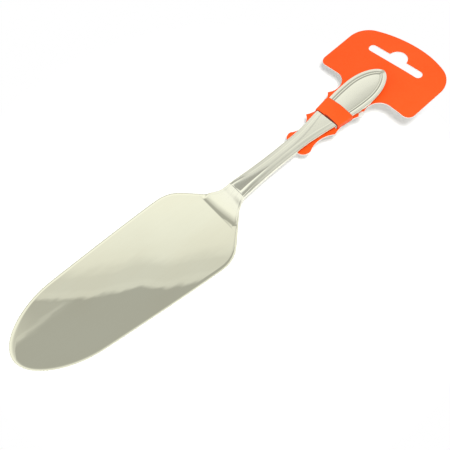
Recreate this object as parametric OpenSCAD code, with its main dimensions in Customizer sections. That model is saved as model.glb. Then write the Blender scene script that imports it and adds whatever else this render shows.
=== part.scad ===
// Cake server: one stamped stainless blank with a flat blade, a cranked neck and a
// relief-pressed handle, carried on a die-cut hang card whose band loops over the handle.
// Millimetres. X runs from the blade's tip to the card's header, Z is up, and the blade's
// underside lies on Z = 0. The origin is on the centre line under the blade's widest place.

/* [Blade] */
// Length from the blade's tip to the crease where the neck starts to rise
blade_len = 122; // [121:0.5:124]
// Greatest width of the blade
blade_w = 53.4; // [50:0.2:56]
// Thickness of the blade
blade_t = 1.2; // [1:0.1:1.6]
// Length of the rounded tip
tip_len = 35; // [30:1:40]
// How much narrower the sides would be at the tip, as a share of the half width
side_taper = 0.25; // [0.15:0.01:0.35]
// Radius of the blade's rear corners
corner_r = 17.5; // [15:0.5:19]

/* [Handle] */
// Length of the whole server in plan
server_len = 241; // [239:0.5:245]
// Thickness of the handle's stock at its rim
handle_t = 2.2; // [1.8:0.1:2.6]
// Width where the neck's fillets end
neck_w = 11.4; // [10.6:0.2:12.2]
// Width at the handle's waist
waist_w = 9.2; // [8.6:0.2:10]
// Greatest width of the handle's pointed oval end
finial_w = 18.8; // [18:0.2:19.4]
// Radius of the fillets between blade and neck
neck_r = 12; // [10:0.5:14]

/* [Relief] */
// Distance of the outer groove from the edge
groove_in = 2.4; // [2.2:0.1:2.6]
// Distance of the inner groove, where the panel starts, from the edge of the pointed oval
panel_inset = 3.5; // [3.2:0.1:4]
// Depth of both grooves
groove_depth = 0.1; // [0.08:0.02:0.24]
// Extra depth of the wedge-shaped panel where it starts at the neck
wedge_depth = 0.45; // [0.3:0.05:0.5]
// Height that the pillowed panel rises above its groove on the pointed oval
panel_crown = 0.12; // [0.06:0.02:0.24]
// Height of the face's crown from edge to middle along the slender part
face_crown = 0.1; // [0.05:0.05:0.3]

/* [Card] */
// Thickness of the board
card_t = 0.45; // [0.35:0.05:0.6]
// Width of the header
header_w = 65.6; // [64:0.4:70]
// Distance from the header's inner edge to the crown of its outer edge
header_h = 41.3; // [40:0.1:43]
// End-to-end length of the hang slot
slot_len = 37; // [33:0.5:40]
// Height of the hang slot's arms
slot_w = 4.8; // [4.4:0.1:5.4]
// Radius of the round notch in the middle of the hang slot
notch_r = 5.8; // [5:0.1:6.4]
// Width of the band over the handle
band_w = 9.6; // [8.6:0.2:10.6]
// Clearance between the band and the handle's edges
band_gap = 0.35; // [0.3:0.05:0.6]
// Height of the band's bow above the handle's rim
band_bow = 0.8; // [0.7:0.1:1.6]

/* [Hidden] */

steel = [0.86, 0.86, 0.80];
print_orange = [1.0, 0.38, 0.14];

// Stations are distances u from the blade's tip; the origin is under the widest one.
wide_u = 102;
corner_u = wide_u + 1.9;
waist_u = 174;
finial_u = 222;
tip_step = 0.3;

function smooth(t) = (1 - cos(180 * max(0, min(1, t)))) / 2;
function arc(c, r, from, to, n) =
    [for (i = [0:n]) let (a = from + (to - from) * i / n) c + r * [cos(a), sin(a)]];

// Blade outline: a rounded tip, sides that flare to the widest place, a corner arc,
// and a shoulder that runs in at 45 degrees to the neck.
half_w = blade_w / 2;
corner_c = [corner_u, half_w - corner_r];
shoulder_sum = corner_u + half_w - corner_r + corner_r * sqrt(2);
function tip_round(u) = u < tip_len ? sqrt(1 - pow(1 - u / tip_len, 2)) : 1;
function side_half(u) = half_w * (1 - side_taper * pow(max(0, 1 - u / wide_u), 1.25)) * tip_round(u);

tip_pts = [for (i = [1:24]) let (u = tip_len * (1 - cos(90 * i / 24))) [u, side_half(u)]];
side_pts = [for (i = [1:12]) let (u = tip_len + (wide_u - tip_len) * i / 12) [u, side_half(u)]];
corner_pts = arc(corner_c, corner_r, 90, 45, 14);
blade_half_pts = concat(tip_pts, side_pts, corner_pts, [[blade_len, shoulder_sum - blade_len]]);
mirrored = [for (i = [len(blade_half_pts) - 1:-1:0]) [blade_half_pts[i][0], -blade_half_pts[i][1]]];

// Handle half width at u: straight shoulder, fillet, slender neck, waist, pointed oval.
fillet_u = shoulder_sum - neck_w / 2 - neck_r + neck_r * sqrt(2);
fillet_y = neck_w / 2 + neck_r;
fillet_start = fillet_u - neck_r / sqrt(2);
function neck_half(u) = neck_w / 2 + (waist_w - neck_w) / 2 * (u - fillet_u) / (waist_u - fillet_u);
function swell_half(u) = (waist_w + (finial_w - waist_w) * smooth((u - waist_u) / (finial_u - waist_u))) / 2;
function point_half(u) = finial_w / 2 * pow(1 - pow((u - finial_u) / (server_len - finial_u), 2), 0.58);
function handle_half(u) =
    u < fillet_start ? shoulder_sum - u
    : u < fillet_u ? fillet_y - sqrt(pow(neck_r, 2) - pow(fillet_u - u, 2))
    : u < waist_u ? neck_half(u)
    : u < finial_u ? swell_half(u)
    : point_half(u);

// Mid-thickness height along the handle: each knot is [u, height, slope].
rise = [
    [blade_len, blade_t / 2, 0.1],
    [blade_len + 1.2, blade_t / 2 + 0.26, 0.35],
    [129.5, 4.2, 0.68],
    [135, 7.25, 0.42],
    [138.5, 8.3, 0.165],
    [147, 9.6, 0.143],
    [158, 11.15, 0.138],
    [172, 13.03, 0.13],
    [205, 17.25, 0.124],
    [server_len, 22.1, 0.15]
];
function rise_index(u) = len([for (i = [1:len(rise) - 2]) if (u >= rise[i][0]) i]);
function between(k0, k1, t) =
    (2 * t * t * t - 3 * t * t + 1) * k0[1] + (t * t * t - 2 * t * t + t) * (k1[0] - k0[0]) * k0[2]
    + (3 * t * t - 2 * t * t * t) * k1[1] + (t * t * t - t * t) * (k1[0] - k0[0]) * k1[2];
function mid_z(u) =
    let (i = rise_index(u))
    between(rise[i], rise[i + 1], (u - rise[i][0]) / (rise[i + 1][0] - rise[i][0]));

// Thickness grows from the blade's gauge to the handle's, upright across the sloping stock.
function slope(u) = (mid_z(u + 0.1) - mid_z(u - 0.1)) / 0.2;
function thick(u) =
    (blade_t + (handle_t - blade_t) * smooth((u - blade_len) / 18)) * sqrt(1 + pow(relief(u) * slope(u), 2));

// The rim's rounding fades in across the fan, and the coined grooves a little further on.
fade_len = 9;
coin_u = 129;
coin_len = 8;
function relief(u) = smooth((u - blade_len) / fade_len);
function coined(u) = smooth((u - coin_u) / coin_len);

// Grooves keep their distance from the edge, so across a slanting edge they lie further in.
max_slant = 3;
function edge_slant(u) =
    min(max_slant, sqrt(1 + pow((handle_half(u + 0.05) - handle_half(u - 0.05)) / 0.1, 2)));

// Half width of the panel: a wedge that ends in a line at the waist, then a lancet to the point.
wedge_u = 134;
wedge_len = 22;
wedge_half = 1.2;
lancet_u = 166;
lancet_len = 32;
line_share = 0.03;
function wedge(u) = max(0, min(1, 1 - (u - wedge_u) / wedge_len));
function lancet(u) = (handle_half(u) - panel_inset * edge_slant(u)) * smooth((u - lancet_u) / lancet_len);
function panel_half(u) = max(line_share * handle_half(u), wedge_half * wedge(u), lancet(u));

// Each border step is [share of the border from the edge, drop below the rim, lift of the underside].
// The outer groove lies at a share k, and the inner one ends the border.
edge_drop = 0.6;
max_groove_share = 0.72;
function groove_share(u, border) = min(max_groove_share, groove_in * edge_slant(u) / border);
function border_steps(k, groove, bed) = [
    [0, edge_drop, edge_drop], [0.2 * k, 0.14, 0.12], [0.5 * k, 0.04, 0.02], [0.75 * k, 0.04, 0],
    [k, groove, 0], [(1 + k) / 2, 0, 0], [1, bed, 0]
];
panel_shares = [0.75, 0.4, 0, -0.4, -0.75];

function top_z(u, drop) = mid_z(u) + thick(u) / 2 - drop * relief(u);
function under_z(u, lift) = mid_z(u) - thick(u) / 2 + lift * relief(u);
function pillow(u) =
    panel_crown * panel_half(u) / (finial_w / 2 - panel_inset) * smooth((u - lancet_u) / lancet_len);
function bed_drop(u) = coined(u) * (groove_depth + wedge_depth * wedge(u));
function panel_drop(u, share) = bed_drop(u) - coined(u) * pillow(u) * (1 - share * share);
crown_end = 200;
crown_fade = 15;
function crown_drop(u, share) =
    face_crown * share * share * coined(u) * (1 - smooth((u - crown_end) / crown_fade));
function point(u, y, z) = [u - wide_u, y, z];
function face_point(u, y, drop) = point(u, y, top_z(u, drop + crown_drop(u, y / handle_half(u))));
function reversed(list) = [for (i = [len(list) - 1:-1:0]) list[i]];
function flipped(list) = [for (p = reversed(list)) [p[0], -p[1], p[2]]];

// Face and underside of one section, each listed from the left edge to the right edge.
function section_steps(u) =
    let (border = handle_half(u) - panel_half(u))
    [for (s = border_steps(groove_share(u, border), groove_depth * coined(u), bed_drop(u)))
        [handle_half(u) - s[0] * border, s[1], s[2]]];
function face_chain(u) =
    let (rim = [for (s = section_steps(u)) face_point(u, s[0], s[1])])
    concat(rim, [for (s = panel_shares) face_point(u, panel_half(u) * s, panel_drop(u, s))], flipped(rim));
function under_chain(u) =
    let (rim = [for (s = section_steps(u)) point(u, s[0], under_z(u, s[2]))])
    concat(rim, [for (s = panel_shares) point(u, panel_half(u) * s, under_z(u, 0))], flipped(rim));

// Stations close up where the outline turns fast: the fan and the pointed oval.
fan_end = 140;
stations = concat(
    [for (i = [0:15]) blade_len + (fan_end - blade_len) * i / 15],
    [for (i = [1:16]) fan_end + (waist_u - fan_end) * i / 16],
    [for (i = [1:20]) waist_u + (finial_u - waist_u) * i / 20],
    [for (i = [1:18]) finial_u + (server_len - tip_step - finial_u) * sin(90 * i / 18)]
);

// Loft through sections that each have two chains of points with equal counts, such as a face
// and an underside: the chains close into a ring, and the end caps step between them.
module loft(faces_a, faces_b) {
    m = len(faces_a[0]);
    n = 2 * m;
    last = len(faces_a) - 1;
    sides = [for (i = [0:last - 1], j = [0:n - 1], half = [0, 1])
        let (k = (j + 1) % n, here = i * n, next = here + n)
        half == 0 ? [here + j, next + k, here + k] : [here + j, next + j, next + k]];
    start_cap = [for (j = [0:m - 2], half = [0, 1])
        let (a = j, b = n - 1 - j)
        half == 0 ? [a, a + 1, b - 1] : [a, b - 1, b]];
    end_cap = [for (f = start_cap) [for (i = [2:-1:0]) last * n + f[i]]];
    polyhedron(
        points = [for (i = [0:last]) each concat(faces_a[i], reversed(faces_b[i]))],
        faces = concat(sides, start_cap, end_cap),
        convexity = 6
    );
}

module blade() {
    translate([-wide_u, 0, 0])
        linear_extrude(height = blade_t)
            polygon(concat([[0, 0]], blade_half_pts, mirrored));
}

module server() {
    color(steel) {
        blade();
        loft([for (u = stations) face_chain(u)], [for (u = stations) under_chain(u)]);
    }
}

// Card frame: a runs along the card from the band towards the header, b across it.
card_u = 203;
card_at = [card_u - wide_u, 1.1, 14.2];
card_pitch = 6.84;
card_roll = 7.5;
card_yaw = 1.8;
header_a = 24.9;
crown_a = header_a + header_h;
crown_r = 78;
outer_corner_r = 13;
inner_corner_r = 4.5;
lobe_c = [-25.3, 4.5];
lobe_r = 4.2;
lobe_short = 2;
tip_2 = [-8, 10.5];
tip_2_left = [-8, 11];
tip_3 = [11, 13];
throat_c = [16.6, 19.1];
throat_r = header_a - throat_c[0];
slot_a = 51;

// Concave scallop of a given depth between two pointed tips.
function scallop(p, q, depth, n) =
    let (chord = norm(q - p), r = (chord * chord / 4 + depth * depth) / (2 * depth),
        out = [-(q - p)[1], (q - p)[0]] / chord, c = (p + q) / 2 + out * (r - depth),
        from = atan2((p - c)[1], (p - c)[0]), sweep = 2 * asin(chord / 2 / r))
    [for (i = [1:n]) let (t = from + sweep * i / n) c + r * [cos(t), sin(t)]];

crown_c = [crown_a - crown_r, 0];
outer_b = header_w / 2 - outer_corner_r;
outer_a = crown_c[0] + sqrt(pow(crown_r - outer_corner_r, 2) - outer_b * outer_b);
crown_angle = atan2(outer_b, outer_a - crown_c[0]);
function lobe_pts(short) = arc(lobe_c + [short, 0], lobe_r, 180, 75, 8);
throat_from = atan2(tip_3[1] - throat_c[1], tip_3[0] - throat_c[0]) + 360;

// One side of the card's outline. The bowed band draws the valley beside it in to the handle,
// further on the left, because the card lies a little to the left of the handle. The left lobe
// is drawn in too and is a little shorter.
lobe_valley_left = 3.6;
lobe_valley_right = 2.6;
band_valley_left = 3.6;
band_valley_right = 1.4;
function card_side(short, middle_tip, lobe_valley, band_valley) =
    let (lobe = lobe_pts(short))
    concat(
        lobe,
        scallop(lobe[len(lobe) - 1], middle_tip, lobe_valley, 10),
        scallop(middle_tip, tip_3, band_valley, 12),
        arc(throat_c, throat_r, throat_from, 360, 14),
        arc([header_a + inner_corner_r, header_w / 2 - inner_corner_r], inner_corner_r, 180, 90, 8),
        arc([outer_a, outer_b], outer_corner_r, 90, crown_angle, 12),
        arc(crown_c, crown_r, crown_angle, 0, 10)
    );
card_left_pts = card_side(lobe_short, tip_2_left, lobe_valley_left, band_valley_left);
card_right_pts =
    [for (p = reversed(card_side(0, tip_2, lobe_valley_right, band_valley_right))) [p[0], -p[1]]];

module hang_slot() {
    reach = slot_len / 2 - slot_w / 2;
    translate([slot_a, 0])
        square([slot_w, 2 * reach], center = true);
    for (side = [-1, 1])
        translate([slot_a, side * reach])
            circle(d = slot_w, $fn = 48);
    intersection() {
        translate([slot_a + 1.6, 0])
            circle(r = notch_r, $fn = 64);
        translate([slot_a, -notch_r])
            square([2 * notch_r, 2 * notch_r]);
    }
}

module card_sheet() {
    translate(card_at)
        rotate([0, -card_pitch, 0])
            rotate([-card_roll, 0, 0])
                rotate([0, 0, card_yaw])
                    translate([0, 0, -card_t])
                        linear_extrude(height = card_t)
                            difference() {
                                polygon(concat(card_left_pts, card_right_pts));
                                hang_slot();
                            }
}

// Band: a strip between two slits, bowed over the handle. Its legs stand just clear of the
// handle's edges and reach down into the sheet, which is open between them.
band_mid_u = card_u + 0.6;
band_u = [band_mid_u - band_w / 2, band_mid_u + band_w / 2];
band_power = 12;
shoulder_gap = 0.3;
function sheet_z(u, y) =
    card_at[2] + (u - card_u) * tan(card_pitch) - (y - card_at[1]) * tan(card_roll) / cos(card_pitch);
function rim_z(u) = mid_z(u) + handle_t / 2;
function foot_z(u, y) = sheet_z(u, y) - card_t * 0.9;
function bow_pt(u, reach, lift, t) =
    let (y = reach * sign(cos(t)) * pow(abs(cos(t)), 2 / band_power),
        crown = rim_z(u) + shoulder_gap + lift + (band_bow - shoulder_gap) * (1 - pow(y / reach, 2)),
        z = foot_z(u, y) + (crown - foot_z(u, y)) * pow(abs(sin(t)), 2 / band_power))
    point(u, y, z);
band_steps = 20;
band_stations = [for (i = [0:4]) band_u[0] + band_w * i / 4];
function bow_chain(u, layer) =
    [for (i = [0:band_steps])
        bow_pt(u, handle_half(u) + band_gap + layer, layer, 180 * i / band_steps)];

module band_window() {
    far = [for (u = band_u) handle_half(u) + band_gap];
    x = [for (u = band_u) u - wide_u];
    linear_extrude(height = 30)
        polygon([[x[0], -far[0]], [x[1], -far[1]], [x[1], far[1]], [x[0], far[0]]]);
}

module hang_card() {
    color(print_orange) {
        difference() {
            card_sheet();
            band_window();
        }
        loft([for (u = band_stations) bow_chain(u, card_t)], [for (u = band_stations) bow_chain(u, 0)]);
    }
}

server();
hang_card();
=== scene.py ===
# %% [markdown]
# # A cake server on its hang card
#
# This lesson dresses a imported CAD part. The part has two pieces: a steel server, pressed from one
# blank, and the board that it hangs on in the shop. Both CAD pieces are plain solids, so each is
# replaced by a finer mesh in the same place, and each mesh gets a finish made only of shader nodes.
# Sizes below are millimetres, as on a drawing, and become metres when a vertex is placed.

# %% Load the frame
import math

import bmesh
import bpy
from mathutils import Matrix, Vector
from mathutils.kdtree import KDTree


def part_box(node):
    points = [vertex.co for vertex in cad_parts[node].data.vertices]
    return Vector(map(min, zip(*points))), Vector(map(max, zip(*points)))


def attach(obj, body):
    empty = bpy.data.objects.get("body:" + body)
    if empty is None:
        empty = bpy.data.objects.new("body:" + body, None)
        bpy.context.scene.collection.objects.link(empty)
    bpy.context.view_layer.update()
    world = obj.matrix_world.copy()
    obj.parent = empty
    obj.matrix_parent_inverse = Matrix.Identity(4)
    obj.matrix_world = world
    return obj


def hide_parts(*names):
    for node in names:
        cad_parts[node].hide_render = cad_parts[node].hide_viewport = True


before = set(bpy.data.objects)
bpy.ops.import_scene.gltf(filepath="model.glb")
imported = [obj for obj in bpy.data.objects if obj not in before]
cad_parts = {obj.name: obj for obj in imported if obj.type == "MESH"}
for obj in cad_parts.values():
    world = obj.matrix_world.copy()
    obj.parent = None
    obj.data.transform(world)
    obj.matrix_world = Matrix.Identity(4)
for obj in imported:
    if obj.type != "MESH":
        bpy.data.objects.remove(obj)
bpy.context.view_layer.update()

MM = 0.001
server_low, server_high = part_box("server")

# %% [markdown]
# ## The camera
#
# The photograph looks down on the server from the blade's right-hand side. A camera can be placed
# by eye, but then every later comparison is a little off. This one was fitted to the outline: the
# place and the aim below put the blade's tip, the crease and the card's corners where the
# photograph has them. In a square picture, a 56 mm lens has that field of view.

# %% Camera
CAMERA_AT = Vector((-100.94, -147.7, 306.0)) * MM
CAMERA_AIM = Vector((18.66, -7.6, 0.0)) * MM

camera_data = bpy.data.cameras.new("camera")
camera_data.lens = 56.0
camera_data.sensor_width = 36.0
camera_data.clip_start = 0.01
camera = bpy.data.objects.new("camera", camera_data)
look = CAMERA_AIM - CAMERA_AT
camera.matrix_world = Matrix.Translation(CAMERA_AT) @ look.to_track_quat("-Z", "Y").to_matrix().to_4x4()
bpy.context.scene.collection.objects.link(camera)
bpy.context.scene.camera = camera
print("camera to aim:", round(look.length / MM), "mm")

# %% [markdown]
# ## Shader sums in plain Python
#
# Wiring Math nodes one by one hides the sum that they make. This small class wraps one socket, so
# that `1 - mask * 0.5` adds the nodes by itself. Every other kind of node comes from `node`, which
# takes the node's type, its settings and what goes into its sockets.


# %% Sockets that can be added and multiplied
class Wire:
    def __init__(self, tree, socket=None):
        self.tree = tree
        self.socket = socket

    def node(self, kind, settings=None, sockets=None, out=0):
        made = self.tree.nodes.new(kind)
        for name, value in (settings or {}).items():
            if name == "stops":
                self.fill_ramp(made.color_ramp, value)
            else:
                setattr(made, name, value)
        for name, value in (sockets or {}).items():
            if isinstance(value, Wire):
                self.tree.links.new(value.socket, made.inputs[name])
            else:
                made.inputs[name].default_value = value
        return Wire(self.tree, made.outputs[out] if len(made.outputs) else None)

    def fill_ramp(self, ramp, stops):
        while len(ramp.elements) < len(stops):
            ramp.elements.new(1.0)
        for element, (place, level) in zip(ramp.elements, stops):
            element.position = place
            element.color = (level, level, level, 1.0)

    def sum(self, operation, first, second=0.0):
        return self.node("ShaderNodeMath", {"operation": operation}, {0: first, 1: second})

    def __add__(self, other):
        return self.sum("ADD", self, other)

    def __sub__(self, other):
        return self.sum("SUBTRACT", self, other)

    def __rsub__(self, other):
        return self.sum("SUBTRACT", other, self)

    def __mul__(self, other):
        return self.sum("MULTIPLY", self, other)

    def __truediv__(self, other):
        return self.sum("DIVIDE", self, other)

    def __rtruediv__(self, other):
        return self.sum("DIVIDE", other, self)

    def __abs__(self):
        return self.sum("ABSOLUTE", self)

    __radd__ = __add__
    __rmul__ = __mul__

    def at_least(self, other):
        return self.sum("MAXIMUM", self, other)

    def step(self, low, high):
        """0 below low, 1 above high, and a soft step between them."""
        return self.node(
            "ShaderNodeMapRange",
            {"interpolation_type": "SMOOTHSTEP"},
            {"Value": self, "From Min": low, "From Max": high},
        )

    def mixed(self, low_colour, high_colour):
        """A colour between two colours, by this value."""
        # A Mix node has sockets for every kind of data: 6, 7 and output 2 are those for colours
        return self.node(
            "ShaderNodeMix",
            {"data_type": "RGBA"},
            {0: self, 6: low_colour, 7: high_colour},
            out=2,
        )


print("sockets take sums now")

# %% [markdown]
# ## What every finish needs
#
# Each finish starts from an empty node material, reads the place of a point in its object, and lays
# noise over it. An image texture could give the grain, but noise has no seams and no limit of
# detail. It goes through a Mapping node, whose scale draws the grain out along an axis, as a
# polishing belt does.


# %% Material helpers
def new_material(name):
    """An empty node material, and a Wire that adds nodes to it."""
    material = bpy.data.materials.new(name)
    material.use_nodes = True
    material.node_tree.nodes.clear()
    return material, Wire(material.node_tree)


def object_place(graph):
    """The place of a point in its object, in metres."""
    return graph.node("ShaderNodeTexCoord", out="Object")


def axis(graph, place, name):
    """One axis of a place: X, Y or Z."""
    return graph.node("ShaderNodeSeparateXYZ", sockets={0: place}, out=name)


EVEN = (1.0, 1.0, 1.0)
COARSE, FINE = 2.0, 3.0


def noise(graph, place, scale, detail, stretch=EVEN):
    """Noise whose grain is 1/scale metres, drawn out along an axis by a small stretch."""
    mapped = graph.node("ShaderNodeMapping", {"vector_type": "POINT"}, {"Vector": place, "Scale": stretch})
    return graph.node("ShaderNodeTexNoise", sockets={"Vector": mapped, "Scale": scale, "Detail": detail})


def distance_to(graph, place, centre):
    """Distance of a place from a fixed point, in metres."""
    settings = {"operation": "DISTANCE"}
    return graph.node("ShaderNodeVectorMath", settings, {0: place, 1: centre}, out="Value")


print("material helpers ready")

# %% [markdown]
# ## The server's outline
#
# The blank is cut from sheet before it is pressed, so its outline is drawn first: a round tip,
# sides that flare to the widest place, corner arcs, straight shoulders, fillets into the neck, a
# slender waist and a pointed oval at the end. It could be a curve object, but the relief needs the
# outline as numbers. So one function gives the half width at a distance `u` from the tip, and
# everything else follows from it.

# %% Outline of the blank
BLADE_LEN = 121.4
WIDE_U = -server_low.x / MM
HALF_W = server_high.y / MM
TIP_LEN = 35.0
SIDE_TAPER, SIDE_POWER = 0.25, 1.25
CORNER_U = WIDE_U + 1.9
CORNER_R = 17.5
NECK_HALF = 5.7
NECK_R = 12.0
NECK_SAG = 0.5
WAIST_U = 174.0
WAIST_HALF = 4.6
FINIAL_U = 222.0
FINIAL_HALF = 9.4
POINT_POWER = 0.58
SERVER_LEN = 241.0

SHOULDER_SUM = CORNER_U + HALF_W + CORNER_R * (math.sqrt(2) - 1)
CORNER_END = CORNER_U + CORNER_R / math.sqrt(2)
FILLET_U = SHOULDER_SUM - NECK_HALF + NECK_R * (math.sqrt(2) - 1)
FILLET_START = FILLET_U - NECK_R / math.sqrt(2)


def smooth(t):
    """A soft step from 0 to 1 while t goes from 0 to 1."""
    return (1 - math.cos(math.pi * max(0.0, min(1.0, t)))) / 2


def blade_half(u):
    """Half width of the blade up to the end of its corner arc."""
    flare = 1 - SIDE_TAPER * max(0.0, 1 - u / WIDE_U) ** SIDE_POWER
    tip = math.sqrt(max(0.0, 1 - (1 - u / TIP_LEN) ** 2)) if u < TIP_LEN else 1.0
    if u < CORNER_U:
        return HALF_W * flare * tip
    return HALF_W - CORNER_R + math.sqrt(CORNER_R**2 - (u - CORNER_U) ** 2)


def half_width(u):
    """Half width of the whole blank at a distance u from the tip."""
    if u < CORNER_END:
        return blade_half(u)
    if u < FILLET_START:
        return SHOULDER_SUM - u
    if u < FILLET_U:
        return NECK_HALF + NECK_R - math.sqrt(NECK_R**2 - (FILLET_U - u) ** 2)
    if u < WAIST_U:
        share = (u - FILLET_U) / (WAIST_U - FILLET_U)
        return NECK_HALF + (WAIST_HALF - NECK_HALF) * share - NECK_SAG * math.sin(math.pi * share)
    if u < FINIAL_U:
        return WAIST_HALF + (FINIAL_HALF - WAIST_HALF) * smooth((u - WAIST_U) / (FINIAL_U - WAIST_U))
    return FINIAL_HALF * max(0.0, 1 - ((u - FINIAL_U) / (SERVER_LEN - FINIAL_U)) ** 2) ** POINT_POWER


print("half widths:", [round(half_width(u), 2) for u in (WIDE_U, FILLET_U, WAIST_U, FINIAL_U)], "mm")

# %% [markdown]
# ## Stations
#
# The mesh gets one section at each station along the blank. Even steps would waste faces on the
# flat blade and starve the crease, so each stretch has its own count, and the two round ends crowd
# their stations where the outline turns fastest.

# %% Stations along the blank
CREASE_FROM, CREASE_TO = BLADE_LEN - 2, BLADE_LEN + 3
FAN_END = 140.0


def spread(start, end, count, place=lambda t: t):
    """Stations from just after start up to end, spaced by place."""
    return [start + (end - start) * place((i + 1) / count) for i in range(count)]


STATIONS = (
    [0.0]
    + spread(0.0, TIP_LEN, 40, lambda t: 1 - math.cos(t * math.pi / 2))
    + spread(TIP_LEN, CREASE_FROM, 30)
    + spread(CREASE_FROM, CREASE_TO, 30)
    + spread(CREASE_TO, FAN_END, 44)
    + spread(FAN_END, WAIST_U, 40)
    + spread(WAIST_U, FINIAL_U, 80)
    + spread(FINIAL_U, SERVER_LEN, 56, lambda t: math.sin(t * math.pi / 2))
)
print(len(STATIONS), "stations")

# %% [markdown]
# ## The crank
#
# The handle doesn't lie on the table. Just behind the blade the press bends the stock up along a
# crease, and a short fan carries it to the handle's level. A Simple Deform modifier could bend a
# flat blank, but with one even bend. This crank is sharp at the crease and at the neck and nearly
# straight along the handle, so the middle of the stock is a smooth run through a few places, each
# with its height and its slope. The crease lies a little askew, as on the real piece.

# %% Height and thickness of the stock
BLADE_T = 1.2
HANDLE_T = 2.2
# Each row is a place, the height of the stock's middle there, and its slope
RISE = [
    (BLADE_LEN, BLADE_T / 2, 0.05),
    (123.4, 0.98, 0.33),
    (127.0, 2.45, 0.5),
    (129.5, 3.9, 0.68),
    (132.0, 5.8, 0.85),
    (135.1, 8.345, 0.72),
    (135.5, 8.515, 0.122),
    (147.0, 9.91, 0.116),
    (158.0, 11.2, 0.116),
    (172.0, 12.87, 0.12),
    (205.0, 17.17, 0.128),
    (SERVER_LEN, 22.5, 0.15),
]
SLOPE_STEP = 0.1
# A stretch is where it starts and how long it is
GAUGE_GROWS, SLOPE_COUNTS = (BLADE_LEN, 18.0), (BLADE_LEN, 7.0)
CREASE_STARTS, CREASE_STOPS, CREASE_ENDS = (BLADE_LEN, 2.0), (128.0, 6.0), (10.5, 3.0)
CREASE_SKEW, CREASE_TURN, CREASE_END_LAG = 0.13, 4.0, 2.2


def fade(at, stretch):
    """0 before a stretch, 1 after it, and a soft step between."""
    start, length = stretch
    return smooth((at - start) / length)


def mid_height(u):
    """Height of the middle of the stock: flat under the blade, then a smooth run through RISE."""
    if u <= BLADE_LEN:
        return BLADE_T / 2
    i = max(k for k in range(len(RISE) - 1) if u >= RISE[k][0])
    (u0, z0, s0), (u1, z1, s1) = RISE[i], RISE[i + 1]
    t, run = (u - u0) / (u1 - u0), u1 - u0
    start = (2 * t**3 - 3 * t**2 + 1) * z0 + (t**3 - 2 * t**2 + t) * run * s0
    return start + (3 * t**2 - 2 * t**3) * z1 + (t**3 - t**2) * run * s1


def crease_lag(u, y):
    """The crease runs a little askew: later on the right, and last at its two ends."""
    skew = CREASE_SKEW * ((math.hypot(y, CREASE_TURN) - y) / 2 - 1)
    lag = CREASE_END_LAG * fade(abs(y), CREASE_ENDS) + skew
    return lag * fade(u, CREASE_STARTS) * (1 - fade(u, CREASE_STOPS))


def thickness(u):
    """Upright thickness: the stock's gauge, drawn out where the stock slopes."""
    slope = (mid_height(u + SLOPE_STEP) - mid_height(u - SLOPE_STEP)) / (2 * SLOPE_STEP)
    gauge = BLADE_T + (HANDLE_T - BLADE_T) * fade(u, GAUGE_GROWS)
    return gauge * math.sqrt(1 + (fade(u, SLOPE_COUNTS) * slope) ** 2)


print("height of the crank:", round(mid_height(SERVER_LEN) - BLADE_T / 2, 1), "mm")

# %% [markdown]
# ## How far is the edge?
#
# Rims, grooves and rounded corners all follow the cut edge, so each is a question of the distance
# to it. A Bevel modifier would round a mesh edge, but it can't lay a groove beside one. A search
# tree over points of the outline finds the nearest of them fast, and the two stretches that meet
# there make the answer exact.

# %% Distance to the outline
EDGE_PARTS = 8
TINY = 1e-9

edge_places = [
    a + (b - a) * k / EDGE_PARTS for a, b in zip(STATIONS, STATIONS[1:]) for k in range(EDGE_PARTS)
]
edge_line = [(u, half_width(u)) for u in edge_places] + [(SERVER_LEN, 0.0)]
edge_tree = KDTree(len(edge_line))
for number, (u, y) in enumerate(edge_line):
    edge_tree.insert((u, y, 0.0), number)
edge_tree.balance()


def edge_distance(u, y):
    """True distance to the outline: the nearest point, then the two stretches that meet there."""
    spot = Vector((u, abs(y)))
    near = edge_tree.find((u, abs(y), 0.0))[1]
    best = (spot - Vector(edge_line[near])).length
    for i in (near - 1, near):
        if 0 <= i < len(edge_line) - 1:
            start, end = Vector(edge_line[i]), Vector(edge_line[i + 1])
            share = (spot - start).dot(end - start) / max(TINY, (end - start).length_squared)
            best = min(best, (spot - start.lerp(end, max(0.0, min(1.0, share)))).length)
    return best


print("edge from the finial's middle:", round(edge_distance(FINIAL_U, 0.0), 2), "mm")

# %% [markdown]
# ## Edges of the blank
#
# The blade's edge is tumbled round, most at the left of the tip. The handle's edge is a plain cut:
# a small rounding on the face and an upright wall below it. Both are drops by distance, so one
# turns into the other along the fan without a seam.

# %% Rounded edge and upright wall
BLADE_EDGE_R, TIP_EDGE_R, RIM_R = 1.7, 3.0, 0.45
TIP_ENDS, TIP_LEFT, EDGE_SHARPENS = (0.0, 22.0), (-6.0, 12.0), (118.0, 14.0)
HANDLE_STARTS = (126.0, 10.0)
EDGE_LIFT = 0.65
WALL_LEAN = 0.15


def edge_radius(u, y):
    """How far in from the edge the corner is rounded: most at the left of the tip."""
    tip = (TIP_EDGE_R - BLADE_EDGE_R) * (1 - fade(u, TIP_ENDS)) * fade(y, TIP_LEFT)
    return BLADE_EDGE_R + tip + (RIM_R - BLADE_EDGE_R) * fade(u, EDGE_SHARPENS)


def rounding(u, y, distance):
    """Drop of the rounded edge, as a share of half the thickness."""
    short = max(0.0, 1 - distance / edge_radius(u, y))
    return 1 - math.sqrt(1 - short * short)


def wall(distance):
    """1 at the top of the cut wall, on the outline, and 0 from its foot inwards."""
    return max(0.0, 1 - distance / WALL_LEAN)


def under_rise(u, y, distance):
    """Rise of the underside towards the edge: round on the blade, an upright wall on the handle."""
    curve = rounding(u, y, distance)
    return curve + (wall(distance) - curve) * fade(u, HANDLE_STARTS)


print("edge radius at the left of the tip:", round(edge_radius(0.0, HALF_W), 2), "mm")

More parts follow.
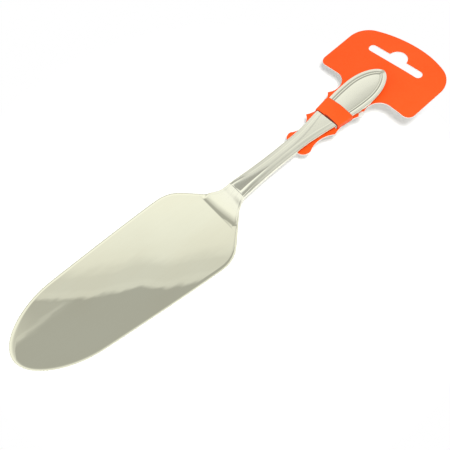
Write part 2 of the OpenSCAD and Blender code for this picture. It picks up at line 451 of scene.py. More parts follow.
# %% [markdown]
# ## Where the grooves run
#
# The handle's face is coined. Inside a round rim, two fine grooves follow the edge and meet at the
# point. The outer one starts close to the edge at the neck. The inner one goes round a panel: a
# wedge at the neck, a line at the waist and a lancet on the pointed oval. The press struck the
# middle of the handle softly, so the grooves are shallow there, and shallower on the right.

# %% Places of the grooves and the panel
OUTER_GROOVE, INNER_GROOVE = 2.4, 3.5
NECK_GROOVE_SHIFT, NECK_GROOVE_MOVES = 1.1, (135.0, 14.0)
GROOVE_DEPTH = 0.08
COIN_SOFT, RIGHT_SOFT = 0.85, 0.5
SOFT_FROM, SOFT_TO = (135.0, 8.0), (196.0, 10.0)
WEDGE_U, WEDGE_LEN, WEDGE_HALF = 135.2, 21.0, 1.4
LANCET_OPENS = (166.0, 32.0)


def outer_groove(u):
    """Distance of the outer groove from the edge: it starts nearer the edge at the neck."""
    return OUTER_GROOVE - NECK_GROOVE_SHIFT * (1 - fade(u, NECK_GROOVE_MOVES))


def wedge_share(u):
    """1 where the wedge starts at the neck, 0 where it has run out."""
    return max(0.0, min(1.0, 1 - (u - WEDGE_U) / WEDGE_LEN))


def panel_half(u):
    """Half width of the panel: a wedge at the neck, a line at the waist, a lancet at the end."""
    lancet = (half_width(u) - INNER_GROOVE) * fade(u, LANCET_OPENS)
    return max(WEDGE_HALF * wedge_share(u), lancet)


def inner_groove(u, centre_distance):
    """Distance of the inner groove, which borders the panel, from the edge."""
    inner = INNER_GROOVE if u > FINIAL_U else centre_distance - panel_half(u)
    return min(inner, centre_distance)


def groove_depth(u, left):
    """Depth of the grooves: soft in the middle of the handle, and more so on the right."""
    side = 1.0 if left else 1 - RIGHT_SOFT * (1 - fade(u, SOFT_TO))
    return side * GROOVE_DEPTH * (1 - COIN_SOFT * (fade(u, SOFT_FROM) - fade(u, SOFT_TO)))


print("groove depths:", [round(groove_depth(u, True), 3) for u in (WEDGE_U, WAIST_U, FINIAL_U)], "mm")

# %% [markdown]
# ## The coined face
#
# A displacement texture could press the relief, but it would blur lines this fine. Here each point of the
# face asks how far away the edge is, and drops by a short sum: down from the rim, up to a crest between
# the grooves, down again and across the panel, which is tilted in the wedge and pillowed in the lancet.
# The same sum says how near a groove's floor is, which the finish uses to paint shade into the grooves and
# onto the wedge.

# %% Drop of the coined face
RIM_DROP_LEFT, RIM_DROP_RIGHT, RIM_TOP = 0.03, 0.01, 0.5
RIM_FLANK, NECK_FLANK = 0.9, 0.5
RIM_LOWERS, FLANK_WIDENS = (138.0, 12.0), (138.0, 10.0)
RIM_SHOWS, GROOVES_SHOW = (122.5, 5.0), (129.0, 5.0)
GROOVE_REACH = 1.2
FLANK_POWER = 2.2
WEDGE_DEPTH, WEDGE_TILT, WEDGE_STARTS = 0.1, 0.85, (WEDGE_U, 1.3)
BED_SHARE, BED_DEEPENS = 0.4, (160.0, 20.0)
PANEL_SLOPE, PANEL_SWELLS, PANEL_LEAST = 0.028, (190.0, 25.0), 0.05
# Painted shade in the grooves and on the wedge: its width, its faint share in the middle and where it
# grows
GROOVE_SHADE_WIDTH, FAINT_GROOVE_SHADE, GROOVE_SHADE_GROWS = 0.3, 0.12, (198.0, 10.0)
WEDGE_SHADE, WEDGE_SHADE_RUN = 0.15, 4.0


def rim_drop(u, distance, left, outer, depth):
    """Drop from the top of the rim down its flank into the outer groove."""
    top = (RIM_DROP_LEFT if left else RIM_DROP_RIGHT) * fade(u, RIM_LOWERS) * smooth(distance / RIM_TOP)
    flank = NECK_FLANK + (RIM_FLANK - NECK_FLANK) * fade(u, FLANK_WIDENS)
    return top + (depth - top) * smooth((distance - outer + flank) / flank)


def panel_drop(u, out, left):
    """Drop of the panel's floor, which tilts across the wedge: out is 0 in its middle, 1 at its border."""
    bed = groove_depth(u, True) * (BED_SHARE + (1 - BED_SHARE) * fade(u, BED_DEEPENS))
    tilt = 1 - (1 if left else -1) * WEDGE_TILT * out
    return bed + WEDGE_DEPTH * wedge_share(u) * fade(u, WEDGE_STARTS) * tilt


def painted_groove_shade(u, distance, outer, inner):
    """Painted shade: how near a groove's floor is, from 0 to 1, with a light painted shade on the wedge
    too.
    """
    # Painted shade, not relief: the groove floors and the wedge get a mark that darkens the steel's colour
    near = max(math.exp(-(((distance - groove) / GROOVE_SHADE_WIDTH) ** 2)) for groove in (outer, inner))
    mark = near * (FAINT_GROOVE_SHADE + (1 - FAINT_GROOVE_SHADE) * fade(u, GROOVE_SHADE_GROWS))
    if distance > inner:
        mark = max(mark, WEDGE_SHADE * fade(u, WEDGE_STARTS) * smooth(wedge_share(u) * WEDGE_SHADE_RUN))
    return mark


def coined_drop(u, distance, centre_distance, left):
    """Drop of the coined face below the stock's full height, and its mark of painted groove shade."""
    outer, depth = outer_groove(u), groove_depth(u, left)
    inner = inner_groove(u, centre_distance)
    crest = min((outer + inner) / 2, outer + GROOVE_REACH)
    panel = max(PANEL_LEAST, centre_distance - inner)
    out = max(0.0, min(1.0, (centre_distance - distance) / panel))
    drop = panel_drop(u, out, left)
    if distance < outer:
        drop = rim_drop(u, distance, left, outer, depth)
    elif distance < crest:
        drop = depth * ((crest - distance) / (crest - outer)) ** FLANK_POWER
    elif distance < inner:
        drop *= ((distance - crest) / (inner - crest)) ** FLANK_POWER
    if distance > inner:
        drop += fade(u, PANEL_SWELLS) * PANEL_SLOPE / 2 * panel * (out**2 - 1)
    shows = fade(u, RIM_SHOWS if distance < crest else GROOVES_SHOW)
    return shows * drop, shows * painted_groove_shade(u, distance, outer, inner)


outer_floor = coined_drop(FINIAL_U, OUTER_GROOVE, FINIAL_HALF, True)
print("drop and mark in the finial's outer groove:", [round(value, 3) for value in outer_floor])

# %% [markdown]
# ## Rolling the blank
#
# The mesh starts as one flat grid. Its long side follows the stations, and its short side is
# rolled round the section: across the face from left to right, then back across the underside.
# Points crowd towards the edges, where the rounding needs them. A loft of bridged loops would give
# the same faces, but on a grid each point knows its place in the section. The seam, the tip and
# the point are closed by merging.

# %% Section of the blank
FACE_STEPS = 160
UNDER_STEPS = 44
# Painted shade on the handle's cut wall beside the card: how it falls off and where it starts
CUT_SHADE_POWER, CUT_SHADE_SHOWS = 0.3, (163.0, 6.0)
STAMP_OFF, STAMP_START = -0.75, 0.35
STAMP_SHIFTS, STAMP_CENTRES = (138.0, 20.0), (WAIST_U, 30.0)


def across(steps):
    """Shares of the half width from the left edge to the right one, crowded at both edges."""
    return [math.cos(math.pi * i / steps) for i in range(steps + 1)]


ring = [("face", c) for c in across(FACE_STEPS)]
ring += [("under", c) for c in reversed(across(UNDER_STEPS))]


def stamp_shift(u):
    """How far the die sat to the side: most at the waist, and true at the finial."""
    grown = STAMP_START + (1 - STAMP_START) * fade(u, STAMP_SHIFTS)
    return STAMP_OFF * grown * (1 - fade(u, STAMP_CENTRES))


def server_point(u, side, share):
    """One point of the section at u, and its mark of painted shade: near a groove, or on the handle's cut
    edge.
    """
    y = share * half_width(u)
    distance = edge_distance(u, y)
    half = thickness(u) / 2
    middle = mid_height(u - crease_lag(u, y))
    lift = EDGE_LIFT * fade(u, HANDLE_STARTS)
    if side == "under":
        low = max(0.0, middle - half + half * (1 + lift) * under_rise(u, y, distance))
        # The underside's mark is painted shade along the handle's cut wall
        return Vector((u - WIDE_U, y, low)) * MM, wall(distance) ** CUT_SHADE_POWER * fade(u, CUT_SHADE_SHOWS)
    high = middle + half - half * (1 - lift) * rounding(u, y, distance)
    coined, mark = 0.0, 0.0
    if u > RIM_SHOWS[0]:
        aside = y - stamp_shift(u) * (1 - share * share)
        coined, mark = coined_drop(u, edge_distance(u, aside), edge_distance(u, 0.0), aside > 0)
    return Vector((u - WIDE_U, y, high - coined)) * MM, mark


print(len(ring), "points round each section")

# %% [markdown]
# ## From section to mesh
#
# The grid operator numbers its points in rows and columns, and each point is sent to its place on the
# blank. The mark of painted shade goes along as a vertex attribute, which a finish can read with no UV
# map.

# %% Mesh of the server
SERVER_MERGE = 0.00004 * MM


def rolled_blank():
    bm = bmesh.new()
    rows, columns = len(STATIONS) - 1, len(ring) - 1
    bmesh.ops.create_grid(bm, x_segments=rows, y_segments=columns, size=1.0)
    # The groove layer holds the painted shade of the grooves, the wedge and the cut wall
    groove = bm.verts.layers.float.new("groove")
    for vert in bm.verts:
        u = STATIONS[round((vert.co.x + 1) / 2 * rows)]
        side, share = ring[round((vert.co.y + 1) / 2 * columns)]
        vert.co, vert[groove] = server_point(u, side, share)
    bmesh.ops.remove_doubles(bm, verts=bm.verts[:], dist=SERVER_MERGE)
    return bm


def finished(name, bm, materials):
    """Turns a bmesh into an object at the origin with smooth faces."""
    bmesh.ops.recalc_face_normals(bm, faces=bm.faces[:])
    for face in bm.faces:
        face.smooth = True
    mesh = bpy.data.meshes.new(name)
    bm.to_mesh(mesh)
    bm.free()
    for material in materials:
        mesh.materials.append(material)
    piece = bpy.data.objects.new(name, mesh)
    bpy.context.scene.collection.objects.link(piece)
    print(name, len(mesh.vertices), "vertices,", len(mesh.polygons), "faces")
    return piece


print("grid of", len(STATIONS), "by", len(ring), "points")

# %% [markdown]
# ## Polished stainless steel
#
# The blade is polished almost to a mirror, with a faint grain along its length from the last belt and
# shallow ripples that make a reflected edge wander. The handle is more satin and less yellow, and its
# grooves and its cut edge are rougher, because the polishing wheel doesn't reach there. Shade is painted
# into the colour of the grooves, the wedge and the cut edge. A metal has no colour of its own except in
# what it mirrors, so the finish is mostly a low roughness, a warm base colour and a very small bump.

# %% Steel
STEEL_PALE = (0.85, 0.85, 0.675, 1.0)
STEEL_DEEP = (0.83, 0.82, 0.64, 1.0)
STEEL_HANDLE = (0.87, 0.87, 0.735, 1.0)
STEEL_PAINTED_SHADE = (0.4, 0.4, 0.3, 1.0)
HANDLE_TINT, GROOVE_SHADE_SHARE = 0.8, 0.6
GRAIN_SCALE, GRAIN_STRETCH = 1.0, (22.0, 1500.0, 1500.0)
CLOUD_SCALE, CLOUD_STRETCH = 38.0, (0.5, 1.0, 1.0)
RIPPLE_SCALE, RIPPLE_STRETCH, RIPPLE_HEIGHT = 45.0, (0.6, 1.0, 1.0), 0.04 * MM
GRAIN_SHARE, TINT_EDGE = 0.2, (0.35, 0.7)
BLADE_ROUGH, GRAIN_ROUGH, HANDLE_ROUGH, GROOVE_ROUGH = 0.012, 0.005, 0.07, 0.15
SATIN_FROM, SATIN_TO = (BLADE_LEN - WIDE_U) * MM, (BLADE_LEN + 14 - WIDE_U) * MM


def polished_steel():
    material, graph = new_material("polished_steel")
    place = object_place(graph)
    grain = noise(graph, place, GRAIN_SCALE, FINE, GRAIN_STRETCH)
    cloud = noise(graph, place, CLOUD_SCALE, COARSE, CLOUD_STRETCH)
    ripple = noise(graph, place, RIPPLE_SCALE, FINE, RIPPLE_STRETCH)
    handle = axis(graph, place, "X").step(SATIN_FROM, SATIN_TO)
    groove = graph.node("ShaderNodeAttribute", {"attribute_name": "groove"}, out="Fac")
    tint = (grain * GRAIN_SHARE + cloud * (1 - GRAIN_SHARE)).step(*TINT_EDGE)
    colour = (handle * HANDLE_TINT).mixed(tint.mixed(STEEL_PALE, STEEL_DEEP), STEEL_HANDLE)
    # Painted shade: the groove mark darkens the steel in the grooves, on the wedge and on the cut wall
    colour = (groove * GROOVE_SHADE_SHARE).mixed(colour, STEEL_PAINTED_SHADE)
    rough = BLADE_ROUGH + grain * GRAIN_ROUGH + handle * HANDLE_ROUGH + groove * GROOVE_ROUGH
    bump = graph.node(
        "ShaderNodeBump",
        sockets={"Strength": 1.0, "Distance": RIPPLE_HEIGHT, "Height": ripple},
    )
    steel = graph.node(
        "ShaderNodeBsdfPrincipled",
        sockets={"Base Color": colour, "Metallic": 1.0, "Roughness": rough, "Normal": bump},
    )
    graph.node("ShaderNodeOutputMaterial", sockets={"Surface": steel})
    return material


server_piece = finished("steel_server", rolled_blank(), [polished_steel()])

# %% [markdown]
# ## The hang card's outline
#
# The card is die-cut from white board, printed orange on its face. Its outline could be a long list
# of points, but a cutting die is drawn with compasses: arcs from end to end, with a rounded header,
# a throat, scallops that end in points, and a round lower end. Its left and right sides differ a
# little. In the card's own frame, `a` runs from the band towards the header and `b` runs across.

# %% Card outline
CARD_U = 203.0
CARD_AT = Vector((CARD_U - WIDE_U, 1.1, 14.2))
CARD_PITCH, CARD_ROLL, CARD_YAW = (math.radians(angle) for angle in (6.84, 7.5, 1.8))
HEADER_A, HEADER_H, HEADER_HALF = 24.9, 41.3, 32.8
CROWN_R, OUTER_R, INNER_R = 78.0, 13.0, 4.5
LOBE_C, LOBE_R, LOBE_TO = (-25.3, 4.5), 4.2, 75.0
TIP_2, TIP_3 = (-8.0, 10.5), (11.0, 13.0)
LEFT_TIP_2 = (-8.0, 11.0)
THROAT_C = (16.6, 19.1)
LOBE_SHORT = 2.0
LEFT_VALLEYS, RIGHT_VALLEYS = (3.6, 3.6), (2.6, 2.2)
SLOT_A, SLOT_LEN, SLOT_W, NOTCH_R, NOTCH_UP = 51.0, 37.0, 4.8, 5.8, 1.6


def arc(centre, radius, start, end, count):
    """Points of an arc, angles in degrees."""
    angles = [math.radians(start + (end - start) * i / count) for i in range(count + 1)]
    return [(centre[0] + radius * math.cos(t), centre[1] + radius * math.sin(t)) for t in angles]


def scallop(p, q, depth, count):
    """A concave arc from one pointed tip to the next, without its first point."""
    p, q = Vector(p), Vector(q)
    chord = (q - p).length
    radius = (chord * chord / 4 + depth * depth) / (2 * depth)
    outward = Vector((-(q - p).y, (q - p).x)) / chord
    centre = (p + q) / 2 + outward * (radius - depth)
    start = math.degrees(math.atan2(p.y - centre.y, p.x - centre.x))
    sweep = math.degrees(2 * math.asin(chord / 2 / radius))
    return arc(centre, radius, start, start + sweep, count)[1:]


def card_side(short, tip_2, valleys):
    """One side of the outline, from the middle of the lower end to the middle of the crown."""
    lobe = arc((LOBE_C[0] + short, LOBE_C[1]), LOBE_R, 180, LOBE_TO, 10)
    throat_r = HEADER_A - THROAT_C[0]
    throat_from = math.degrees(math.atan2(TIP_3[1] - THROAT_C[1], TIP_3[0] - THROAT_C[0])) + 360
    crown_a = HEADER_A + HEADER_H - CROWN_R
    corner_b = HEADER_HALF - OUTER_R
    corner_a = crown_a + math.sqrt((CROWN_R - OUTER_R) ** 2 - corner_b**2)
    crown_angle = math.degrees(math.atan2(corner_b, corner_a - crown_a))
    return (
        lobe
        + scallop(lobe[-1], tip_2, valleys[0], 14)
        + scallop(tip_2, TIP_3, valleys[1], 18)
        + arc(THROAT_C, throat_r, throat_from, 360, 20)[1:]
        + arc((HEADER_A + INNER_R, HEADER_HALF - INNER_R), INNER_R, 180, 90, 12)
        + arc((corner_a, corner_b), OUTER_R, 90, crown_angle, 20)
        + arc((crown_a, 0.0), CROWN_R, crown_angle, 0, 18)[1:]
    )


def slot_outline():
    """The hook slot: two round-ended arms, and a round notch on the crown's side."""
    half = SLOT_W / 2
    reach = SLOT_LEN / 2 - half
    meet = math.degrees(math.asin((half - NOTCH_UP) / NOTCH_R))
    notch = arc((SLOT_A + NOTCH_UP, 0.0), NOTCH_R, 90 - meet, meet - 90, 24)
    left = arc((SLOT_A, reach), half, 180, 0, 12)
    right = arc((SLOT_A, -reach), half, 0, -180, 12)
    return left + notch + right


card_outline = card_side(LOBE_SHORT, LEFT_TIP_2, LEFT_VALLEYS)
card_outline += [(a, -b) for a, b in reversed(card_side(0.0, TIP_2, RIGHT_VALLEYS)[:-1])]
print(len(card_outline), "outline points,", len(slot_outline()), "slot points")

# %% [markdown]
# ## The window under the band
#
# Two slits cut a strip out of the middle of the card, and the strip is bowed over the handle. What
# stays behind in the sheet is a window. Its corners lie beside the handle, so they are worked out
# from the handle's half width there and brought into the card's frame.

# %% Card's place and window
CARD_T = 0.5
BAND_MID_U = CARD_U + 0.6
BAND_HALF_W = 4.8
BAND_GAP = 0.25
SLIT_CURVE_LEFT, SLIT_CURVE_RIGHT = 1.2, 0.4

card_matrix = (
    Matrix.Translation(CARD_AT)
    @ Matrix.Rotation(-CARD_PITCH, 4, "Y")
    @ Matrix.Rotation(-CARD_ROLL, 4, "X")
    @ Matrix.Rotation(CARD_YAW, 4, "Z")
)


def slit_shift(share):
    """The slits curve towards the blade at their ends, further at the left one."""
    return (SLIT_CURVE_LEFT if share > 0 else SLIT_CURVE_RIGHT) * share * share


def sheet_height(u, y):
    """Height of the card's face above a point of the table."""
    rise = (u - CARD_U) * math.tan(CARD_PITCH)
    return CARD_AT.z + rise - (y - CARD_AT.y) * math.tan(CARD_ROLL) / math.cos(CARD_PITCH)


def band_window():
    """Corners, in the card's frame, of the opening that the lifted band leaves."""
    to_card = card_matrix.inverted()
    corners = []
    for end, side in ((-1, -1), (1, -1), (1, 1), (-1, 1)):
        u = BAND_MID_U + end * BAND_HALF_W
        x = u - WIDE_U - slit_shift(side)
        spot = to_card @ Vector((x, side * (half_width(u) + BAND_GAP), sheet_height(u, 0.0)))
        corners.append((spot.x, spot.y))
    return corners


print("window corners:", [(round(a, 1), round(b, 1)) for a, b in band_window()])

# %% [markdown]
# ## The card's sheet
#
# The outline, the hook slot and the window are loops of edges, and one fill makes the face between
# them. A Boolean modifier could cut the holes, but it leaves long thin faces. Cuts across the face
# give it enough points to bend. Then it gets its thickness, and each face takes a finish by the way
# it looks: print on top, plain board below and white core on the cut edges. Last, the right wing
# droops a little, as loose board does.

# %% Sheet
PRINT, BACK, CORE, SLIT_EDGE = range(4)
CUTS_ALONG, CUTS_ACROSS = range(-27, 66, 3), range(-30, 33, 5)
LEVEL_FACE = 0.7
WING_FROM, WING_LEN, WING_BEND = 8.0, 24.8, Vector((-1.0, 0.0, -1.2))


def loop(bm, points):
    """A closed loop of edges through points in the card's frame."""
    verts = [bm.verts.new((a, b, 0.0)) for a, b in points]
    return [bm.edges.new((verts[i - 1], verts[i])) for i in range(len(verts))]


def board_finish(face):
    """The finish of a face of the flat sheet, by the way that it looks."""
    if face.normal.z > LEVEL_FACE:
        return PRINT
    return BACK if face.normal.z < -LEVEL_FACE else CORE


def card_sheet():
    bm = bmesh.new()
    edges = loop(bm, card_outline) + loop(bm, slot_outline()) + loop(bm, band_window())
    bmesh.ops.triangle_fill(bm, edges=edges, use_beauty=True)
    for way, cuts in ((Vector((1, 0, 0)), CUTS_ALONG), (Vector((0, 1, 0)), CUTS_ACROSS)):
        for cut in cuts:
            everything = bm.verts[:] + bm.edges[:] + bm.faces[:]
            bmesh.ops.bisect_plane(bm, geom=everything, plane_co=way * cut, plane_no=way)
    bmesh.ops.recalc_face_normals(bm, faces=bm.faces[:])
    if sum(face.normal.z for face in bm.faces) < 0:
        bmesh.ops.reverse_faces(bm, faces=bm.faces[:])
    bmesh.ops.solidify(bm, geom=bm.faces[:], thickness=CARD_T)
    top = max(vert.co.z for vert in bm.verts)
    bmesh.ops.translate(bm, verts=bm.verts[:], vec=(0, 0, -top))
    bmesh.ops.recalc_face_normals(bm, faces=bm.faces[:])
    for face in bm.faces:
        face.material_index = board_finish(face)
    for vert in bm.verts:
        vert.co += WING_BEND * max(0.0, (-vert.co.y - WING_FROM) / WING_LEN) ** 2
    bmesh.ops.transform(bm, matrix=Matrix.Scale(MM, 4) @ card_matrix, verts=bm.verts[:])
    return bm


print(len(CUTS_ALONG), "cuts along the card,", len(CUTS_ACROSS), "across it")

# %% [markdown]
# ## The band
#
# Board that is pulled over a flat handle bends sharply at its corners and stays nearly straight
# between them. A bent copy of the sheet would stretch there, so the band is a grid rolled round
# the strip's own section, on a curve between an ellipse and a box: the higher its power, the
# squarer the corners. Its feet end inside the sheet's thickness, and its two slit edges are
# filled.

# %% Band
BAND_T = 0.5
BAND_BOW = 0.25
BAND_SHOULDER = 0.05
BAND_POWER = 20.0
BAND_ROWS = 14
BAND_STEPS = 96
BAND_MERGE = 0.001 * MM


def bow_point(u, turn, layer):
    """A point of the band's section at u: layer is 0 on its inside and 1 on its outside."""
    reach = half_width(u) + BAND_GAP + layer * BAND_T
    c, s = math.cos(turn), math.sin(turn)
    y = reach * math.copysign(abs(c) ** (2 / BAND_POWER), c)
    rim = mid_height(u) + HANDLE_T / 2
    crown = rim + BAND_SHOULDER + layer * BAND_T + (BAND_BOW - BAND_SHOULDER) * (1 - (y / reach) ** 2)
    foot = sheet_height(u, y) - CARD_T / 2
    x = u - WIDE_U - slit_shift(y / reach)
    return Vector((x, y, foot + (crown - foot) * abs(s) ** (2 / BAND_POWER))) * MM


def bowed_band():
    """A grid rolled round the strip's own section: over the outside, then back along the inside."""
    bm = bmesh.new()
    turns = [(math.pi * i / BAND_STEPS, 1) for i in range(BAND_STEPS + 1)]
    turns += [(math.pi * i / BAND_STEPS, 0) for i in range(BAND_STEPS, -1, -1)]
    turns.append(turns[0])
    columns = len(turns) - 1
    bmesh.ops.create_grid(bm, x_segments=BAND_ROWS, y_segments=columns, size=1.0)
    for vert in bm.verts:
        u = BAND_MID_U + vert.co.x * BAND_HALF_W
        vert.co = bow_point(u, *turns[round((vert.co.y + 1) / 2 * columns)])
    bmesh.ops.remove_doubles(bm, verts=bm.verts[:], dist=BAND_MERGE)
    ends = bmesh.ops.holes_fill(bm, edges=[edge for edge in bm.edges if edge.is_boundary], sides=0)
    bmesh.ops.recalc_face_normals(bm, faces=bm.faces[:])
    for face in ends["faces"]:
        face.material_index = SLIT_EDGE
    return bm


band_top = bow_point(BAND_MID_U, math.pi / 2, 1)
print("top of the band:", [round(c / MM, 1) for c in band_top], "mm")

# %% [markdown]
# ## Printed board
#
# The print is a flat bright orange under a thin satin varnish. Board is never quite even: a fine
# fibre grain shows in the gloss and faintly in the colour. One scallop tip has lost its print, and
# the mask for it is a distance from that tip, made ragged by the fibres.

# %% Printed face
ORANGE = (1.0, 0.105, 0.012, 1.0)
ORANGE_DEEP = (0.95, 0.092, 0.008, 1.0)
BOARD_TORN = (0.74, 0.73, 0.68, 1.0)
PRINT_FIBRE, PRINT_MOTTLE = 900.0, 60.0
PRINT_BUMP, PRINT_RELIEF, PRINT_GLOSS = 0.03 * MM, 0.35, 0.25
MOTTLE_SHARE, INK_EDGE = 0.6, (0.3, 0.75)
PRINT_ROUGH, FIBRE_ROUGH, TORN_ROUGH = 0.5, 0.15, 0.3
TORN_FROM, TORN_TO, TORN_RAGGED = 2.8 * MM, 3.5 * MM, 1.2 * MM
TORN_AT = card_matrix @ Vector((TIP_3[0], -TIP_3[1], 0.0)) * MM


def printed_face():
    material, graph = new_material("printed_face")
    place = object_place(graph)
    fibre = noise(graph, place, PRINT_FIBRE, FINE)
    mottle = noise(graph, place, PRINT_MOTTLE, COARSE)
    torn = 1 - (distance_to(graph, place, TORN_AT) + fibre * TORN_RAGGED).step(TORN_FROM, TORN_TO)
    uneven = (mottle * MOTTLE_SHARE + fibre * (1 - MOTTLE_SHARE)).step(*INK_EDGE)
    bump = graph.node(
        "ShaderNodeBump", sockets={"Strength": PRINT_RELIEF, "Distance": PRINT_BUMP, "Height": fibre}
    )
    board = graph.node(
        "ShaderNodeBsdfPrincipled",
        sockets={
            "Base Color": torn.mixed(uneven.mixed(ORANGE, ORANGE_DEEP), BOARD_TORN),
            "Roughness": PRINT_ROUGH + fibre * FIBRE_ROUGH + torn * TORN_ROUGH,
            "Normal": bump,
            "Specular IOR Level": PRINT_GLOSS,
        },
    )
    graph.node("ShaderNodeOutputMaterial", sockets={"Surface": board})
    return material


print("print worn off at", [round(c / MM, 1) for c in TORN_AT], "mm")

# %% [markdown]
# ## Bare board and the slit edges
#
# The cut edges and the back show the bare board. It is rougher than the print, so its fibres are finer,
# with a stronger bump and a wider change of colour. The band's slit edges have painted shadow: dark brown
# on the right, where the gap's shade falls, turning into the print's orange on the left. Two materials
# would meet in a hard line, so one mask along Y carries one colour over into the other.

# %% Board finishes
BOARD_WHITE = (0.88, 0.86, 0.80, 1.0)
BOARD_SHADE = (0.78, 0.76, 0.70, 1.0)
SLIT_SHADOW_BROWN = (0.22, 0.03, 0.01, 1.0)
BOARD_FIBRE, BOARD_BUMP, BOARD_RELIEF = 1400.0, 0.05 * MM, 0.5
FIBRE_EDGE = (0.3, 0.7)
BOARD_ROUGH, SLIT_ROUGH = 0.75, 0.7
SHADOW_FADE_FROM, SHADOW_FADE_TO, SHADOW_FADE_RAGGED = 1.5 * MM, 4.0 * MM, 2.0 * MM


def bare_board(name):
    material, graph = new_material(name)
    place = object_place(graph)
    fibre = noise(graph, place, BOARD_FIBRE, FINE)
    bump = graph.node(
        "ShaderNodeBump", sockets={"Strength": BOARD_RELIEF, "Distance": BOARD_BUMP, "Height": fibre}
    )
    board = graph.node(
        "ShaderNodeBsdfPrincipled",
        sockets={
            "Base Color": fibre.step(*FIBRE_EDGE).mixed(BOARD_WHITE, BOARD_SHADE),
            "Roughness": BOARD_ROUGH + fibre * FIBRE_ROUGH,
            "Normal": bump,
        },
    )
    graph.node("ShaderNodeOutputMaterial", sockets={"Surface": board})
    return material


def painted_slit_shadow():
    material, graph = new_material("painted_slit_shadow")
    place = object_place(graph)
    fibre = noise(graph, place, BOARD_FIBRE, FINE)
    # Painted shadow: dark brown on the right of the slit edges, fading into the print's orange on the left
    shadow_fades = (axis(graph, place, "Y") + fibre * SHADOW_FADE_RAGGED).step(SHADOW_FADE_FROM, SHADOW_FADE_TO)
    board = graph.node(
        "ShaderNodeBsdfPrincipled",
        sockets={
            "Base Color": shadow_fades.mixed(SLIT_SHADOW_BROWN, ORANGE_DEEP),
            "Roughness": SLIT_ROUGH + fibre * FIBRE_ROUGH,
        },
    )
    graph.node("ShaderNodeOutputMaterial", sockets={"Surface": board})
    return material


# The order is that of PRINT, BACK, CORE and SLIT_EDGE
card_finishes = [printed_face(), bare_board("board_back"), bare_board("board_core"), painted_slit_shadow()]
sheet_piece = finished("card_sheet", card_sheet(), card_finishes)
for polygon in sheet_piece.data.polygons:
    polygon.use_smooth = False
band_piece = finished("card_band", bowed_band(), card_finishes)

# %% [markdown]
# ## The table
#
# The photograph has no horizon: the white table runs out into white. More light would do that too,
# but it would bleach the orange. So the table is a plain white where the object throws its shadow,
# and further out it glows with a strength of 1, for camera rays and mirror rays only. The change
# is a soft step by the distance from the object.

# %% Table
TABLE_WHITE = (0.97, 0.97, 0.97, 1.0)
TABLE_SIZE = 2.0
TABLE_DROP = 0.02 * MM
GLOW_FROM, GLOW_TO = 126.0 * MM, 140.0 * MM
GLOW_CENTRE = Vector((20.0, 0.0, 0.0)) * MM
WHITE = (1.0, 1.0, 1.0, 1.0)


def ray_is(graph, kind):
    """1 for a ray of that kind, such as Camera or Glossy, and 0 for the rest."""
    return graph.node("ShaderNodeLightPath", out=f"Is {kind} Ray")


def table_top():
    material, graph = new_material("table")
    plain = graph.node("ShaderNodeBsdfDiffuse", sockets={"Color": TABLE_WHITE})
    glow = graph.node("ShaderNodeEmission", sockets={"Color": WHITE, "Strength": 1.0})
    seen = ray_is(graph, "Camera") + ray_is(graph, "Glossy")
    place = object_place(graph)
    lit_through = seen * distance_to(graph, place, GLOW_CENTRE).step(GLOW_FROM, GLOW_TO)
    surface = graph.node("ShaderNodeMixShader", sockets={0: lit_through, 1: plain, 2: glow})
    graph.node("ShaderNodeOutputMaterial", sockets={"Surface": surface})
    return material


table_mesh = bmesh.new()
bmesh.ops.create_grid(table_mesh, x_segments=1, y_segments=1, size=TABLE_SIZE)
bmesh.ops.translate(table_mesh, verts=table_mesh.verts[:], vec=(0, 0, -TABLE_DROP))
floor = finished("table", table_mesh, [table_top()])

# %% [markdown]
# ## The tent
#
# A polished blade is a picture of the room, so the room matters more than the lamps. The server
# lies in a bright tent whose roof is open to a grey ceiling, and the edge of the roof shows as the
# line between the blade's light and dark parts. The room could be built from planes, but a world
# shader needs only the direction of a ray. Divided by its height, that direction is a place on a
# flat roof: `along` runs square to the roof's edge and `sideways` runs with it. One ramp holds the
# roof's levels, and another lets its edge sag as cloth does. In the opening, a pale screen and a
# thin streak of light show on the far side. Low directions are shaded, so that the steel has light
# and dark from every side.

# %% World
HORIZON = 0.02
EDGE_TURN, EDGE_NORM = 0.69, 1.215
SAG_SCALE = 20
# Each pair is a place sideways and how far the roof's edge sags there
SAG = [
    (-0.24, 0.0), (-0.17, -0.006), (-0.12, 0.0), (-0.08, 0.01), (-0.045, 0.001), (0.0, 0.007),
    (0.03, 0.011),
]
# Each pair is a place along the roof and its level
ROOF = [
    (-1.0, 1.0), (-0.45, 0.85), (-0.15, 0.6), (0.1, 0.47), (0.597, 0.465), (0.603, 0.84),
    (0.612, 0.735), (0.64, 0.745), (0.668, 0.9), (0.78, 1.03), (1.0, 1.15),
]
ROOF_EDGE = (0.59, 0.6)
WALL_EDGE, WALL_LEVEL = (0.31, 0.78), 1.08
SCREEN_EDGE, SCREEN_SIDE, SCREEN_LEVEL, SCREEN_MORE = (0.498, 0.514), (0.0, 0.07), 0.06, 0.14
STREAK_AT, STREAK_EDGE, STREAK_END, STREAK_LEVEL = 0.511, (0.001, 0.006), (0.09, 0.12), 0.07
SHADE_LOW, SHADE_FROM, SHADE_TO, SHADE_MORE = (0.04, 0.12), 0.25, 0.48, 0.2
SHADE_SIDE, SHADE_LEVEL = (-0.35, -0.05), 0.55
SKY_LEVEL = 0.6


def ramp(graph, value, stops):
    """A grey level by value: each stop is a place from 0 to 1 and its level."""
    return graph.node("ShaderNodeValToRGB", {"stops": stops}, {"Fac": value})


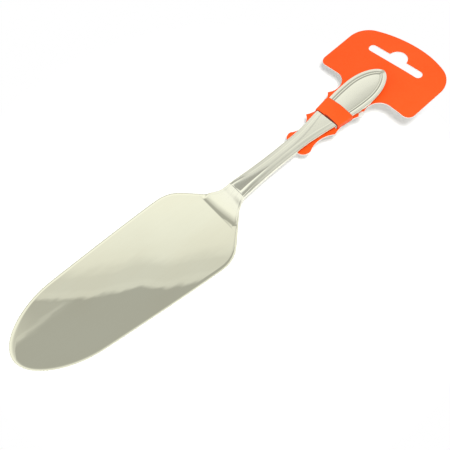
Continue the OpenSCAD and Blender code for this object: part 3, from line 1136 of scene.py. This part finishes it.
def tent_level(sky):
    """How bright the tent is in the direction of a ray."""
    ray = sky.node("ShaderNodeTexCoord", out="Generated")
    dx, dy, dz = (axis(sky, ray, name) for name in "XYZ")
    up = dz.at_least(HORIZON)
    roof_x, roof_y = dx / up, dy / up
    sideways = (dx - dy * EDGE_TURN) / up / EDGE_NORM
    sag = ramp(sky, sideways + 0.5, [(side + 0.5, fall * SAG_SCALE + 0.5) for side, fall in SAG])
    along = (dx * EDGE_TURN + dy) / up - (sag - 0.5) / SAG_SCALE
    roof = ramp(sky, along / 2 + 0.5, [(place / 2 + 0.5, level) for place, level in ROOF])
    opening = 1 - along.step(*ROOF_EDGE)
    screen = SCREEN_LEVEL + SCREEN_MORE * (1 - roof_x.step(*SCREEN_SIDE))
    streak = (1 - abs(roof_y - STREAK_AT).step(*STREAK_EDGE)) * (1 - roof_x.step(*STREAK_END))
    pale = opening * (roof_y.step(*SCREEN_EDGE) * screen + streak * STREAK_LEVEL)
    beside = abs(sideways).step(*WALL_EDGE)
    shade_top = dz.step(SHADE_FROM, SHADE_TO + SHADE_MORE * dx.step(*SHADE_SIDE))
    shaded = dz.step(*SHADE_LOW) * (1 - shade_top)
    return ((roof + pale) * (1 - beside) + beside * WALL_LEVEL) * (1 - shaded * SHADE_LEVEL)


world = bpy.data.worlds.new("tent")
bpy.context.scene.world = world
world.use_nodes = True
world.node_tree.nodes.clear()
sky = Wire(world.node_tree)
mirrored, looked_at = ray_is(sky, "Glossy"), ray_is(sky, "Camera")
level = mirrored * tent_level(sky) + looked_at + (1 - mirrored - looked_at) * SKY_LEVEL
background = sky.node("ShaderNodeBackground", sockets={"Strength": level, "Color": WHITE})
sky.node("ShaderNodeOutputWorld", sockets={"Surface": background})
print("tent of", len(world.node_tree.nodes), "nodes")

# %% [markdown]
# ## The lamp
#
# Mirror rays see the tent, camera rays see white, and all other rays see an even sky, so that plain
# colours stay as they are written. The sky alone would leave no shadow edge, so one soft lamp
# stands beside the camera and throws the short shadows of the card and the handle. Mirror rays
# don't see it, because the real blade shows no bright spot.

# %% Lamp and view
LAMP_WATTS = 6.4
LAMP_RADIUS = 42.0 * MM
LAMP_AT = Vector((-68.0, -166.0, 427.0)) * MM

lamp_data = bpy.data.lights.new("lamp", "POINT")
lamp_data.energy = LAMP_WATTS
lamp_data.shadow_soft_size = LAMP_RADIUS
lamp = bpy.data.objects.new("lamp", lamp_data)
lamp.matrix_world = Matrix.Translation(LAMP_AT)
lamp.visible_glossy = False
bpy.context.scene.collection.objects.link(lamp)
bpy.context.scene.view_settings.view_transform = "Standard"
print("lamp to camera:", round((LAMP_AT - CAMERA_AT).length / MM), "mm")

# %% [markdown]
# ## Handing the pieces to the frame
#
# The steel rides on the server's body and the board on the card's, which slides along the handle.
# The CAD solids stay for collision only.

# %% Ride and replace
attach(server_piece, "server")
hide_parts("server")
for piece in (sheet_piece, band_piece):
    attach(piece, "hang_card")
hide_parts("hang_card")
